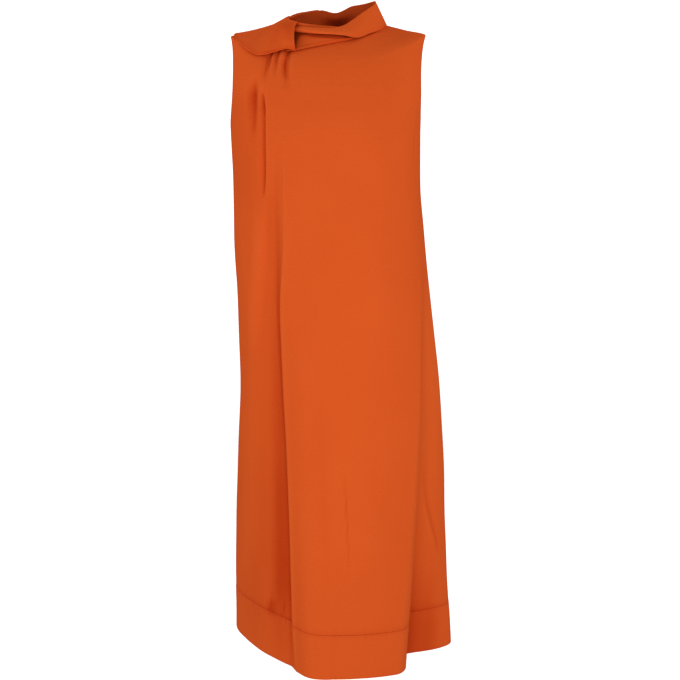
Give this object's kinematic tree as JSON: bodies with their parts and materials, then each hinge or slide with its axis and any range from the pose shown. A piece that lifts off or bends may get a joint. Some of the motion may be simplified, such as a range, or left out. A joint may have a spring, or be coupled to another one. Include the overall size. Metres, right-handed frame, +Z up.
{
  "type": "tent dress",
  "caption": "Sleeveless midi tent dress of heavy matte crepe with a draped spiral collar turned down over one shoulder, long soft folds and a deep hem band, filled out and hollow.",
  "frame": {"origin": "midway between the two shoulder tips, at their height, where the wearer's shoulders carry the dress", "axes": "+Z up, the front faces -Y, +X to the right of someone who looks at the front"},
  "size_m": [0.4254, 0.3915, 1.2305],
  "materials": {
    "crepe": "heavy matte crepe, burnt orange"
  },
  "bodies": {
    "root": {"front_panel": "crepe", "back_panel": "crepe", "hem_band_front": "crepe", "hem_band_back": "crepe", "collar_band": "crepe", "collar_fall": "crepe", "collar_flap": "crepe"}
  },
  "joints": []
}
